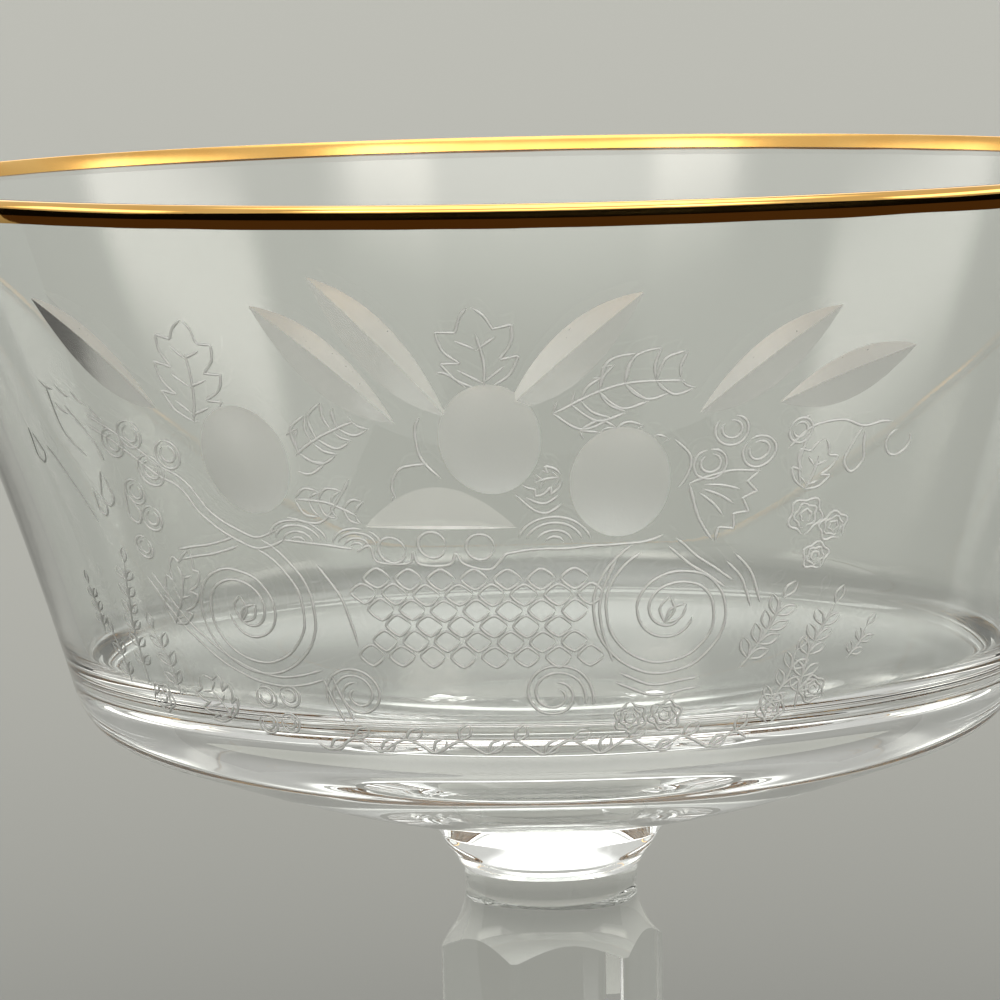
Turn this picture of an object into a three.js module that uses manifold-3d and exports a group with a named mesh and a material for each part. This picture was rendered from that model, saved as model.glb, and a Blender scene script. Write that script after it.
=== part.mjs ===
// A stemmed sherbet glass: a flared bowl with a gilded lip, wheel-cut leaves and ground fruit,
// a flared collar under it, a stem cut with six flat panels, and a round foot.
// Millimetres, +Z up. The origin is on the table, under the middle of the foot.
// An azimuth is counted from the front (-Y) towards +X, and a drop downwards from the lip.
import * as THREE from "three";
import { mergeVertices } from "three/addons/utils/BufferGeometryUtils.js";
import Module from "manifold-3d";

const wasm = await Module();
wasm.setup();

// Bowl, outside
const rimDiameter = 95;
const bowlDepth = 47; // from the lip down to the flat that sits on the collar
const heelDiameter = 67.8; // where the lines of the wall and the underside meet
const heelRise = 7.4; // of that meeting above the flat
const heelRounding = 2.9; // taken off each of the two lines
const kneeDiameter = 30.1; // where the underside leaves the level of the flat
const wallLean = 15.5; // degrees from upright, just above the heel
const flareRise = 28.6; // height above the flat at which the wall turns out into its flare

// Bowl, inside
const wallAtLip = 1.3;
const wallAtHeel = 1.65;
const floorThickness = 8.85; // of the glass in the middle
const floorEdgeRise = 11.85; // of the inside corner above the flat
const floorRounding = 2.7;
const levelShare = 0.7; // of the floor's width, where its hollow comes out level
const lipRise = 0.8; // height of the rounded lip
const lipFlat = 0.3; // width of the level top between its two roundings

// Gilding on the lip
const goldThickness = 0.15;
const goldGap = 0.05; // between the gold and the glass
const goldOutside = 0.56; // how far it runs down below the rounded lip
const goldInside = 0.14;

// Wheel cutting on the front of the bowl
const mitreWheelDiameter = 125; // its edge is a blunt V and leaves a leaf
const mitreSpread = 3.86; // half the width of the V for each millimetre of depth
const mitreHalfWidth = 6;
const leafDepth = 0.44;
const moonDepth = 0.484; // a half leaf, cut by one flank of a blunter wheel
const moonSpread = 6;
const fruitWheelRadius = 16; // its edge is rounded and leaves a shallow dish
const fruitWheelWidth = 12;
const fruitDepth = 0.45;
const leaves = [
  { azimuth: -42, drop: 10, tilt: 139 },
  { azimuth: -18.5, drop: 10.2, tilt: 136 },
  { azimuth: -13.5, drop: 9, tilt: 129 },
  { azimuth: 2.7, drop: 9.4, tilt: 43 },
  { azimuth: 19.5, drop: 10.4, tilt: 39 },
  { azimuth: 27.2, drop: 11.7, tilt: 20 },
];
const moon = { azimuth: -9.7, drop: 21, tilt: 0 };
const fruits = [
  { azimuth: -4.6, drop: 15, tilt: 0 },
  { azimuth: 6.9, drop: 18, tilt: 0 },
  { azimuth: -27.8, drop: 16.6, tilt: 0 },
];

// Collar
const collarHeight = 5.95;
const collarTopDiameter = 19.2; // also the flat under the bowl
const neckDiameter = 12.64; // where the collar meets the stem
const neckTopDiameter = 12.82; // where the neck turns out into the flare
const neckHeight = 1.4;
const flareHollow = 0.1; // how far the flare is hollowed out of a straight cone

// Stem
const stemLength = 70.25;
const coveRadius = 5.9; // of the hollow curve from the neck out to the shoulder
const shoulderDiameter = 17.2; // of the round rod that the panels are cut into
const panelCount = 6;
const knopDiameter = 16.84; // over the corners, below the shoulder
const knopLength = 12; // from the neck down to where the stem starts to taper
const waistDiameter = 12; // over the corners, where the stem is thinnest
const waistRise = 15; // above the foot
const panelFoot = 2.2; // height of the round base that the panels stop on
const firstCorner = -20; // azimuth of one corner

// Foot
const footDiameter = 70;
const footHeight = 6.8; // to the top that carries the stem
const footEdge = 2.4; // thickness at the edge
const footEdgeRounding = 1;
const hubDiameter = 25; // where the rise to the stem starts
const hubHeight = 4.8;
const standRingDiameter = 50; // inner edge of the flat ring that stands on the table
const kickUp = 1.6; // hollow under the middle

// Facets
const bowlSides = 64;
const collarSides = 48;
const stemSides = 60;
const footSides = 64;
const curveSteps = 6;
const cornerSteps = 3;
const leafWheelSides = 96;
const fruitWheelSides = 28;

const { degToRad } = THREE.MathUtils;
const point = (radius, height) => new THREE.Vector2(radius, height);

// A point some way from one point towards another.
function towards(from, to, distance) {
  return from.clone().add(to.clone().sub(from).setLength(distance));
}

function curve(from, control, to, steps = curveSteps) {
  return new THREE.QuadraticBezierCurve(from, control, to).getPoints(steps);
}

// One outline from several stretches, with each shared end kept once.
function joined(...stretches) {
  return stretches.flat().filter((p, i, all) => i === 0 || p.distanceTo(all[i - 1]) > 1e-6);
}

// A solid of revolution about +Z. With few sides it is a prism with as many panels.
function turned(profile, sides, startAzimuth = 0) {
  const geometry = new THREE.LatheGeometry(profile, sides, degToRad(startAzimuth));
  return geometry.rotateX(Math.PI / 2);
}

function solidOf(geometry) {
  const bare = new THREE.BufferGeometry();
  bare.setAttribute("position", geometry.getAttribute("position"));
  bare.setIndex(geometry.index);
  const merged = mergeVertices(bare, 1e-4);
  const mesh = new wasm.Mesh({
    numProp: 3,
    vertProperties: merged.getAttribute("position").array,
    triVerts: new Uint32Array(merged.index.array),
  });
  return new wasm.Manifold(mesh);
}

function geometryOf(solid) {
  const mesh = solid.getMesh();
  const geometry = new THREE.BufferGeometry();
  geometry.setAttribute("position", new THREE.BufferAttribute(mesh.vertProperties, 3));
  geometry.setIndex(new THREE.BufferAttribute(mesh.triVerts, 1));
  geometry.computeVertexNormals();
  return geometry;
}

// The bowl's outlines run up the outside, over the lip and down the inside.
const heelCorner = point(heelDiameter / 2, heelRise);
const knee = point(kneeDiameter / 2, 0);
const leanSlope = Math.tan(degToRad(wallLean));
const wallLine = (height) => heelCorner.x + leanSlope * (height - heelRise);
const flare = point(wallLine(flareRise), flareRise);
const lipOuter = point(rimDiameter / 2, bowlDepth - lipRise);
const lipInner = point(rimDiameter / 2 - wallAtLip, bowlDepth - lipRise);
const lipMiddle = rimDiameter / 2 - wallAtLip / 2;
const innerFlare = point(flare.x - (wallAtLip + wallAtHeel) / 2, flareRise);
const floorCorner = point(wallLine(floorEdgeRise) - wallAtHeel, floorEdgeRise);
const floorMiddle = point(0, floorThickness);
const floorDish = point(floorCorner.x * levelShare, floorThickness);

const lipLean = (lipRise * (lipInner.x - innerFlare.x)) / (lipInner.y - innerFlare.y);
const wallOutline = curve(towards(heelCorner, flare, heelRounding), flare, lipOuter);
const lipOutline = joined(
  curve(lipOuter, point(rimDiameter / 2, bowlDepth), point(lipMiddle + lipFlat / 2, bowlDepth), cornerSteps),
  curve(point(lipMiddle - lipFlat / 2, bowlDepth), point(lipInner.x + lipLean, bowlDepth), lipInner, cornerSteps),
);

function bowlOutline() {
  const seatEdge = point(collarTopDiameter / 2, 0);
  const heelStart = towards(heelCorner, knee, heelRounding);
  const innerStart = towards(floorCorner, innerFlare, floorRounding);
  const floorStart = towards(floorCorner, floorDish, floorRounding);
  return joined(
    [point(0, 0), seatEdge],
    curve(seatEdge, knee, heelStart),
    curve(heelStart, heelCorner, wallOutline[0], cornerSteps),
    wallOutline,
    lipOutline,
    curve(lipInner, innerFlare, innerStart),
    curve(innerStart, floorCorner, floorStart, cornerSteps),
    curve(floorStart, floorDish, floorMiddle),
  );
}

// Where a place on the outside of the wall is, with the way out of it and the way a cut runs there.
function onWall({ azimuth, drop, tilt }) {
  const height = bowlDepth - drop;
  const i = wallOutline.findIndex((p) => p.y >= height);
  const [low, high] = [wallOutline[i - 1], wallOutline[i]];
  const radius = THREE.MathUtils.mapLinear(height, low.y, high.y, low.x, high.x);
  const lean = Math.atan2(high.x - low.x, high.y - low.y);
  const a = degToRad(azimuth);
  const outward = new THREE.Vector3(Math.sin(a), -Math.cos(a), 0);
  const across = new THREE.Vector3(Math.cos(a), Math.sin(a), 0);
  const up = new THREE.Vector3(0, 0, Math.cos(lean)).addScaledVector(outward, Math.sin(lean));
  const normal = across.clone().cross(up).normalize();
  const along = across.clone().applyAxisAngle(normal, degToRad(tilt));
  const place = outward.multiplyScalar(radius).setZ(height);
  return { place, normal, along };
}

// A wheel whose edge is a V, standing in the wall to a depth. With no width below, it is half a V.
function mitreCut(where, depth, spread, below, above) {
  const radius = mitreWheelDiameter / 2;
  const profile = joined(
    [point(0, -below), point(radius - below / spread, -below), point(radius, 0)],
    [point(radius - above / spread, above), point(0, above)],
  );
  const { place, normal, along } = onWall(where);
  const spindle = normal.clone().cross(along);
  const frame = new THREE.Matrix4().makeBasis(along, normal.clone().negate(), spindle);
  frame.setPosition(place.addScaledVector(normal, radius - depth));
  return solidOf(turned(profile, leafWheelSides).applyMatrix4(frame));
}

// A wheel with a rounded edge, standing in the wall to a depth.
function fruitCut(where) {
  const half = fruitWheelWidth / 2;
  const arc = new THREE.EllipseCurve(
    0, fruitWheelRadius - fruitDepth, fruitWheelRadius, fruitWheelRadius,
    -Math.PI / 2, -Math.acos(half / fruitWheelRadius),
  ).getPoints(curveSteps);
  const top = point(half, fruitWheelRadius);
  const { place, normal, along } = onWall(where);
  const frame = new THREE.Matrix4().makeBasis(along, normal.clone().cross(along), normal);
  frame.setPosition(place);
  return solidOf(turned([...arc, top, point(0, top.y)], fruitWheelSides).applyMatrix4(frame));
}

function bowl() {
  const half = mitreHalfWidth;
  const cuts = [
    ...leaves.map((leaf) => mitreCut(leaf, leafDepth, mitreSpread, half, half)),
    mitreCut(moon, moonDepth, moonSpread, 0, half),
    ...fruits.map(fruitCut),
  ];
  const blank = solidOf(turned(bowlOutline(), bowlSides));
  return geometryOf(cuts.reduce((glass, cut) => glass.subtract(cut), blank));
}

// An outline moved outwards by a distance, corner by corner.
function offset(outline, distance) {
  return outline.map((p, i) => {
    const before = p.clone().sub(outline[Math.max(i - 1, 0)]).normalize();
    const after = outline[Math.min(i + 1, outline.length - 1)].clone().sub(p).normalize();
    const along = before.add(after).normalize();
    return point(p.x + distance * along.y, p.y - distance * along.x);
  });
}

// The gold is a thin cap that follows the lip.
function goldRim() {
  const outsideEnd = towards(lipOuter, flare, goldOutside);
  const insideEnd = towards(lipInner, innerFlare, goldInside);
  const lip = joined([outsideEnd], lipOutline, [insideEnd]);
  const outer = offset(lip, goldGap + goldThickness);
  const inner = offset(lip, goldGap).reverse();
  return turned([...outer, ...inner, outer[0]], bowlSides);
}

// A short neck that widens a little, and a hollow flare out to the bowl.
function collar() {
  const neck = point(neckDiameter / 2, 0);
  const neckTop = point(neckTopDiameter / 2, neckHeight);
  const rim = point(collarTopDiameter / 2, collarHeight);
  const inwards = rim.clone().sub(neckTop).rotateAround(point(0, 0), Math.PI / 2);
  const bend = neckTop.clone().lerp(rim, 0.5).add(inwards.setLength(2 * flareHollow));
  const flared = curve(neckTop, bend, rim);
  return turned(joined([point(0, 0), neck], flared, [point(0, collarHeight)]), collarSides);
}

// A round rod with a coved shoulder, and the six-sided form that its panels are cut to.
function stem() {
  const neckRadius = neckDiameter / 2;
  const shoulderRadius = shoulderDiameter / 2;
  const coveTurn = Math.acos(1 - (shoulderRadius - neckRadius) / coveRadius);
  const cove = new THREE.EllipseCurve(
    neckRadius + coveRadius, stemLength, coveRadius, coveRadius,
    Math.PI + coveTurn, Math.PI, true,
  ).getPoints(curveSteps);
  const rod = joined([point(0, 0), point(shoulderRadius, 0)], cove, [point(0, stemLength)]);

  const knopRadius = knopDiameter / 2;
  const waist = point(waistDiameter / 2, waistRise);
  const knopEnd = point(knopRadius, stemLength - knopLength);
  const roundBase = point(shoulderRadius / Math.cos(Math.PI / panelCount), panelFoot);
  const middle = (waistRise + knopEnd.y) / 2;
  const slope = (knopRadius - waist.x) / (knopEnd.y - waistRise);
  const control = point(waist.x + (slope * (middle - waistRise)) / 2, middle);
  const panels = joined(
    [point(0, 0), point(roundBase.x, 0)],
    curve(roundBase, point(waist.x, (panelFoot + waistRise) / 2), waist),
    curve(waist, control, knopEnd),
    [point(knopRadius, stemLength), point(0, stemLength)],
  );
  const cut = solidOf(turned(rod, stemSides, firstCorner));
  return geometryOf(cut.intersect(solidOf(turned(panels, panelCount, firstCorner))));
}

function foot() {
  const radius = footDiameter / 2;
  const bottomEdge = point(radius - footEdgeRounding, 0);
  const topEdge = point(radius - footEdgeRounding, footEdge);
  const hub = point(hubDiameter / 2, hubHeight);
  const seat = point(shoulderDiameter / 2, footHeight);
  const ring = point(standRingDiameter / 2, 0);
  return turned(
    joined(
      curve(point(0, kickUp), point(ring.x / 2, kickUp), ring),
      curve(bottomEdge, point(radius, 0), point(radius, footEdge / 2), cornerSteps),
      curve(point(radius, footEdge / 2), point(radius, footEdge), topEdge, cornerSteps),
      curve(hub, point(seat.x, hubHeight), seat, cornerSteps + 1),
      [point(0, footHeight)],
    ),
    footSides,
  );
}

const glass = new THREE.MeshStandardMaterial({
  color: 0xe4e8e3,
  roughness: 0.04,
  transparent: true,
  opacity: 0.4,
});
const gold = new THREE.MeshStandardMaterial({ color: 0xd9a441, roughness: 0.16, metalness: 1 });

const sherbetGlass = new THREE.Group();

function place(name, geometry, material, height) {
  const mesh = new THREE.Mesh(geometry, material);
  mesh.name = name;
  mesh.position.z = height;
  sherbetGlass.add(mesh);
}

const collarBase = footHeight + stemLength;
const bowlBase = collarBase + collarHeight;
place("foot", foot(), glass, 0);
place("stem", stem(), glass, footHeight);
place("collar", collar(), glass, collarBase);
place("bowl", bowl(), glass, bowlBase);
place("gold_rim", goldRim(), gold, bowlBase);

export default sherbetGlass;
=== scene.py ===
from math import acos, atan2, copysign, cos, degrees, dist, hypot, pi, radians, sin, sqrt, tan

import bmesh
import bpy
from mathutils import Matrix, Vector, noise


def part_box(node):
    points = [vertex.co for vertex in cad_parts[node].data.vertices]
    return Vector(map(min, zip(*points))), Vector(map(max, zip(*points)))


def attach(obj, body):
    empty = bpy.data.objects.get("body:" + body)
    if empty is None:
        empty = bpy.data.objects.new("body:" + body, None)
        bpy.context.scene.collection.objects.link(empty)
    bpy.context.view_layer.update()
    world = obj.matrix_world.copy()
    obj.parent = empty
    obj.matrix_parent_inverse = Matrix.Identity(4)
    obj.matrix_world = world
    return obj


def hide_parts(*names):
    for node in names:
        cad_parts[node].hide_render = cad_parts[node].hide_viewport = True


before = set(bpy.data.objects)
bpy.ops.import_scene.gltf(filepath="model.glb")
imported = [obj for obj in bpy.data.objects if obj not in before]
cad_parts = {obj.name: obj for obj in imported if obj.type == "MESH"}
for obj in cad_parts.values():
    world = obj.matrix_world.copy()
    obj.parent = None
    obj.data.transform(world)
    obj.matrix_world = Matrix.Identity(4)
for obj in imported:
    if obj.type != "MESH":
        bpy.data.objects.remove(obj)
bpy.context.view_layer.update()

# A stemmed sherbet glass: clear crystal, gilded lip, wheel-cut leaves and fruit, etched basket.
# Sizes are in mm and turned into metres when a mesh is made. The front of the glass faces -Y,
# an azimuth is counted from the front towards +X, and a drop is counted down from the lip.
mm = 0.001
scene = bpy.context.scene
scene.view_settings.view_transform = "Standard"

# light crosses and bounces inside thick glass many times before it comes out
scene.cycles.max_bounces = 40
scene.cycles.transmission_bounces = 40
scene.cycles.transparent_max_bounces = 40
scene.cycles.glossy_bounces = 24


# general helpers

def bezier(start, control, end, steps):
    points = []
    for i in range(steps + 1):
        t = i / steps
        weights = ((1 - t) ** 2, 2 * t * (1 - t), t * t)
        points.append(tuple(
            sum(w * p[k] for w, p in zip(weights, (start, control, end))) for k in (0, 1)))
    return points


def towards(start, end, distance):
    dx, dy = end[0] - start[0], end[1] - start[1]
    share = distance / hypot(dx, dy)
    return (start[0] + dx * share, start[1] + dy * share)


tiny = 1e-6  # mm: nearer points count as one


def joined(*stretches):
    points = []
    for stretch in stretches:
        for p in stretch:
            if not points or dist(p, points[-1]) > tiny:
                points.append(p)
    return points


def addObject(name, data, *finishes):
    made = bpy.data.objects.new(name, data)
    scene.collection.objects.link(made)
    for finish in finishes:
        data.materials.append(finish)
    return made


# faces look outwards when the mesh is written
def writeMesh(bm, mesh):
    bmesh.ops.recalc_face_normals(bm, faces=bm.faces)
    bm.to_mesh(mesh)
    bm.free()
    return mesh


# a solid of revolution about +Z: the outline starts and ends on the axis, or closes on itself
def turnedMesh(name, outline, sides, firstAzimuth=0.0):
    bm = bmesh.new()
    rings = []
    for radius, height in outline:
        if radius < tiny:
            rings.append([bm.verts.new((0, 0, height * mm))])
            continue
        ring = []
        for i in range(sides):
            a = radians(firstAzimuth) + 2 * pi * i / sides
            x, y = radius * sin(a), -radius * cos(a)
            ring.append(bm.verts.new((x * mm, y * mm, height * mm)))
        rings.append(ring)
    if len(rings[0]) > 1:
        rings.append(rings[0])
    for low, high in zip(rings, rings[1:]):
        for i in range(sides):
            k = (i + 1) % sides
            corners = [low[i % len(low)], low[k % len(low)], high[k % len(high)], high[i % len(high)]]
            corners = list(dict.fromkeys(corners))
            if len(corners) > 2:
                bm.faces.new(corners)
    return writeMesh(bm, bpy.data.meshes.new(name))


cleaning = {"merge": 0.002, "sliver": 0.001}  # mm: smaller gaps and faces go after a cut


# cuts or crops a body with other solids and keeps their finishes on the new faces
def carve(body, tools, operation="DIFFERENCE"):
    for tool in tools:
        step = body.modifiers.new(tool.name, "BOOLEAN")
        step.operation = operation
        step.object = tool
        step.solver = "EXACT"
        step.material_mode = "TRANSFER"
    deps = bpy.context.evaluated_depsgraph_get()
    mesh = bpy.data.meshes.new_from_object(body.evaluated_get(deps), depsgraph=deps)
    mesh.name = body.name
    body.modifiers.clear()
    bm = bmesh.new()
    bm.from_mesh(mesh)
    bmesh.ops.remove_doubles(bm, verts=bm.verts, dist=cleaning["merge"] * mm)
    bmesh.ops.dissolve_degenerate(bm, edges=bm.edges, dist=cleaning["sliver"] * mm)
    bm.to_mesh(mesh)
    bm.free()
    body.data = mesh
    for tool in tools:
        bpy.data.objects.remove(tool)


def smoothShade(body, edgeAngle=8):
    body.data.shade_smooth()
    body.data.set_sharp_from_angle(angle=radians(edgeAngle))


# faces that are fused to the next piece let light straight through, so the glass reads as one
def fuseFaces(body, heights):
    body.data.materials.append(joint)
    index = len(body.data.materials) - 1
    level, near = 0.999, 0.01 * mm
    for face in body.data.polygons:
        if abs(face.normal.z) > level and any(abs(face.center.z - h * mm) < near for h in heights):
            face.material_index = index


def setInputs(tree, node, inputs):
    for key, value in inputs.items():
        if isinstance(value, bpy.types.NodeSocket):
            tree.links.new(value, node.inputs[key])
        else:
            node.inputs[key].default_value = value


def addNode(tree, kind, settings, inputs):
    made = tree.nodes.new(kind)
    for key, value in settings.items():
        setattr(made, key, value)
    setInputs(tree, made, inputs)
    return made


# the nodes that are used most, each giving the socket with its result
def mathNode(tree, operation, first, second=0.0, **settings):
    settings["operation"] = operation
    return addNode(tree, "ShaderNodeMath", settings, {0: first, 1: second}).outputs[0]


def rangeNode(tree, value, span=(0, 1), result=(0, 1), **settings):
    return addNode(tree, "ShaderNodeMapRange", settings, {
        "Value": value, "From Min": span[0], "From Max": span[1],
        "To Min": result[0], "To Max": result[1]}).outputs["Result"]


def mixNode(tree, share, first, second, **settings):
    settings["data_type"] = "RGBA"
    return addNode(tree, "ShaderNodeMix", settings, {
        "Factor": share, "A": first, "B": second}).outputs["Result"]


def noiseNode(tree, place, scale, detail):
    return addNode(tree, "ShaderNodeTexNoise", {}, {
        "Vector": place, "Scale": scale, "Detail": detail}).outputs["Fac"]


def bumpNode(tree, height, distance):
    return addNode(tree, "ShaderNodeBump", {}, {
        "Height": height, "Distance": distance, "Strength": 1}).outputs["Normal"]


def splitNode(tree, vector):
    return addNode(tree, "ShaderNodeSeparateXYZ", {}, {"Vector": vector}).outputs


def newFinish(name):
    finish = bpy.data.materials.new(name)
    finish.use_nodes = True
    tree = finish.node_tree
    shader = tree.nodes["Principled BSDF"]
    place = addNode(tree, "ShaderNodeTexCoord", {}, {})
    return finish, tree, shader, place.outputs["Object"]


# finishes: lengths in metres, noise scales per metre

crystalLook = {
    "tint": (0.968, 0.984, 0.972, 1), "ior": 1.52,
    "rippleScale": 55, "rippleDetail": 0.5, "rippleHeight": 0.00004,
}


def clearCrystal():
    look = crystalLook
    finish, tree, shader, place = newFinish("clear_crystal")
    ripple = noiseNode(tree, place, look["rippleScale"], look["rippleDetail"])
    setInputs(tree, shader, {
        "Base Color": look["tint"], "Transmission Weight": 1, "IOR": look["ior"], "Roughness": 0,
        "Normal": bumpNode(tree, ripple, look["rippleHeight"])})
    return finish


# the leaf and shade finishes are lit and shaded copies of one wheel cut: the leaf finish is painted lighter
# for the flank that faces the light, the shade finish painted dimmer for the other
cutLook = {
    "leaf": {"tint": (0.97, 0.96, 0.92, 1), "clear": 0.6, "rough": (0.25, 0.34),
             "grain": 2600, "depth": 0.000004},
    "shade": {"tint": (0.96, 0.955, 0.93, 1), "clear": 0.85, "rough": (0.18, 0.26),
              "grain": 2600, "depth": 0.000004},
    "fruit": {"tint": (0.92, 0.92, 0.90, 1), "clear": 0.93, "rough": (0.34, 0.46),
              "grain": 5200, "depth": 0.000008},
    "line": {"tint": (0.98, 0.98, 0.965, 1), "clear": 0.25, "rough": (0.3, 0.45),
             "grain": 6000, "depth": 0.000006},
    "grainDetail": 3,
}

paintedFlankLook = {
    "mid": (0.7, 0.7, 0.68, 1), "dim": (0.34, 0.34, 0.33, 1), "dark": (0.2, 0.2, 0.19, 1),
    "lit": (0.25, 0, 0.85), "facing": (-0.5, 0.1),  # the way to the light, and the lean over which a flank goes from painted shade to painted light
    "left": (-0.026, -0.036), "leftShare": 0.85,  # over these X the lines get darker painted shade
    "low": (0.1055, 0.1025), "lowShare": 0.5,  # over these Z they get dimmer painted shade
}


# an etched line has painted light and shade: the flank that looks up is painted pale and the other darker,
# with more painted shade low and at the left
def paintedFlankLight(tree, place, tint):
    look = paintedFlankLook
    parts = splitNode(tree, place)
    left = rangeNode(tree, parts["X"], look["left"], (0, look["leftShare"]))
    low = rangeNode(tree, parts["Z"], look["low"], (0, look["lowShare"]))
    normal = addNode(tree, "ShaderNodeTexCoord", {}, {}).outputs["Normal"]
    lean = addNode(tree, "ShaderNodeVectorMath", {"operation": "DOT_PRODUCT"}, {
        0: normal, 1: look["lit"]})
    facing = rangeNode(tree, lean.outputs["Value"], look["facing"])
    shaded = mixNode(tree, low, look["mid"], look["dim"])
    pale = mixNode(tree, low, tint, look["mid"])
    return mixNode(tree, left, mixNode(tree, facing, shaded, pale), look["dark"])


# glass that a wheel or acid has dulled: some light scatters, and a fine grain shows close up
def dulledGlass(name):
    look = cutLook[name]
    finish, tree, shader, place = newFinish(name + "_cut")
    grain = noiseNode(tree, place, look["grain"], cutLook["grainDetail"])
    setInputs(tree, shader, {
        "Base Color": paintedFlankLight(tree, place, look["tint"]) if name == "line" else look["tint"],
        "Transmission Weight": look["clear"], "IOR": crystalLook["ior"],
        "Roughness": rangeNode(tree, grain, result=look["rough"]),
        "Normal": bumpNode(tree, grain, look["depth"])})
    return finish


goldLook = {
    "thin": (0.88, 0.45, 0.10, 1), "thick": (0.97, 0.63, 0.22, 1), "patchScale": 160, "patchDetail": 4,
    "rough": (0.03, 0.07), "rubbed": 0.16, "rubbedReach": 0.03,  # duller towards the back
    "brushScale": 900, "brushDetail": 2, "brushDepth": 0.000005,
    "underside": (0.74, 0.76, 0.7, 1), "undersideRough": 0.3,
}


def firedGold():
    look = goldLook
    finish, tree, shader, place = newFinish("fired_gold")
    patch = noiseNode(tree, place, look["patchScale"], look["patchDetail"])
    rough = rangeNode(tree, patch, result=look["rough"])
    rubbed = rangeNode(tree, splitNode(tree, place)["Y"], (0, look["rubbedReach"]), (0, look["rubbed"]))
    brush = noiseNode(tree, place, look["brushScale"], look["brushDetail"])
    setInputs(tree, shader, {
        "Metallic": 1, "Base Color": mixNode(tree, patch, look["thin"], look["thick"]),
        "Roughness": mathNode(tree, "ADD", rough, rubbed),
        "Normal": bumpNode(tree, brush, look["brushDepth"])})
    return finish


# the face of the gold that is fired on to the glass, which only light inside the wall meets
def goldUnderside():
    finish, tree, shader, place = newFinish("gold_underside")
    setInputs(tree, shader, {
        "Metallic": 1, "Base Color": goldLook["underside"], "Roughness": goldLook["undersideRough"]})
    return finish


# clear where two pieces are one glass
def fusedJoint():
    finish, tree, shader, place = newFinish("fused_joint")
    clear = addNode(tree, "ShaderNodeBsdfTransparent", {}, {})
    tree.links.new(clear.outputs["BSDF"], tree.nodes["Material Output"].inputs["Surface"])
    tree.nodes.remove(shader)
    return finish


crystal = clearCrystal()
litLeafCut = dulledGlass("leaf")
shadedLeafCut = dulledGlass("shade")
fruitCut = dulledGlass("fruit")
lineCut = dulledGlass("line")
gold = firedGold()
goldBack = goldUnderside()
joint = fusedJoint()
print("finishes ready")


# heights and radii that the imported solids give
def boxInMm(node):
    low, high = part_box(node)
    return low / mm, high / mm


bowlLow, bowlHigh = boxInMm("bowl")
collarLow, collarHigh = boxInMm("collar")
stemLow, stemHigh = boxInMm("stem")
footLow, footHigh = boxInMm("foot")
seatHeight = bowlLow.z
lipHeight = bowlHigh.z
rimRadius = bowlHigh.x
seatRadius = collarHigh.x


# bowl: up the outside, over the lip and down the inside

bowlShape = {
    "heelRadius": 33.9, "heelRise": 7.4, "heelRounding": 2.9, "kneeRadius": 15.05, "wallLean": 15.5,
    "flareRise": 28.6, "wallAtLip": 1.3, "wallAtHeel": 1.65, "floorThickness": 8.85,
    "floorEdgeRise": 11.85, "floorRounding": 2.7, "levelShare": 0.7, "lipRise": 0.8, "lipFlat": 0.3,
    "sides": 432,
}
b = bowlShape
leanSlope = tan(radians(b["wallLean"]))
heelCorner = (b["heelRadius"], seatHeight + b["heelRise"])
knee = (b["kneeRadius"], seatHeight)
flare = (b["heelRadius"] + leanSlope * (b["flareRise"] - b["heelRise"]), seatHeight + b["flareRise"])
wallStart = towards(heelCorner, flare, b["heelRounding"])
lipOuter = (rimRadius, lipHeight - b["lipRise"])
lipInner = (rimRadius - b["wallAtLip"], lipHeight - b["lipRise"])
lipMiddle = rimRadius - b["wallAtLip"] / 2
innerFlare = (flare[0] - (b["wallAtLip"] + b["wallAtHeel"]) / 2, flare[1])
floorCorner = (b["heelRadius"] + leanSlope * (b["floorEdgeRise"] - b["heelRise"]) - b["wallAtHeel"],
               seatHeight + b["floorEdgeRise"])
floorDish = (floorCorner[0] * b["levelShare"], seatHeight + b["floorThickness"])
lipLean = b["lipRise"] * (lipInner[0] - innerFlare[0]) / (lipInner[1] - innerFlare[1])
lipOutline = joined(
    bezier(lipOuter, (rimRadius, lipHeight), (lipMiddle + b["lipFlat"] / 2, lipHeight), 10),
    bezier((lipMiddle - b["lipFlat"] / 2, lipHeight), (lipInner[0] + lipLean, lipHeight), lipInner, 10))


def bowlOutline():
    seatEdge = (seatRadius, seatHeight)
    heelStart = towards(heelCorner, knee, b["heelRounding"])
    innerStart = towards(floorCorner, innerFlare, b["floorRounding"])
    floorStart = towards(floorCorner, floorDish, b["floorRounding"])
    return joined(
        [(0, seatHeight)], bezier(seatEdge, knee, heelStart, 24),
        bezier(heelStart, heelCorner, wallStart, 16), bezier(wallStart, flare, lipOuter, 36), lipOutline,
        bezier(lipInner, innerFlare, innerStart, 36), bezier(innerStart, floorCorner, floorStart, 16),
        bezier(floorStart, floorDish, (0, seatHeight + b["floorThickness"]), 24))


# radius and lean of the wall's outside at a height
def wallAt(height):
    bend = wallStart[1] - 2 * flare[1] + lipOuter[1]
    rise = 2 * (flare[1] - wallStart[1])
    rest = wallStart[1] - min(max(height, wallStart[1]), lipOuter[1])
    t = -2 * rest / (rise + sqrt(rise * rise - 4 * bend * rest))
    radius = (1 - t) ** 2 * wallStart[0] + 2 * t * (1 - t) * flare[0] + t * t * lipOuter[0]
    out = (1 - t) * (flare[0] - wallStart[0]) + t * (lipOuter[0] - flare[0])
    up = (1 - t) * (flare[1] - wallStart[1]) + t * (lipOuter[1] - flare[1])
    return radius, atan2(out, up)


# a place on the wall's outside, with the ways across, up and out of it
def onWall(azimuth, drop):
    height = lipHeight - drop
    radius, lean = wallAt(height)
    a = radians(azimuth)
    outward = Vector((sin(a), -cos(a), 0))
    across = Vector((cos(a), sin(a), 0))
    up = outward * sin(lean) + Vector((0, 0, cos(lean)))
    place = outward * radius + Vector((0, 0, height))
    return place, across, up, across.cross(up)


# wheel cuts, at the places that the solid bowl has them

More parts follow.
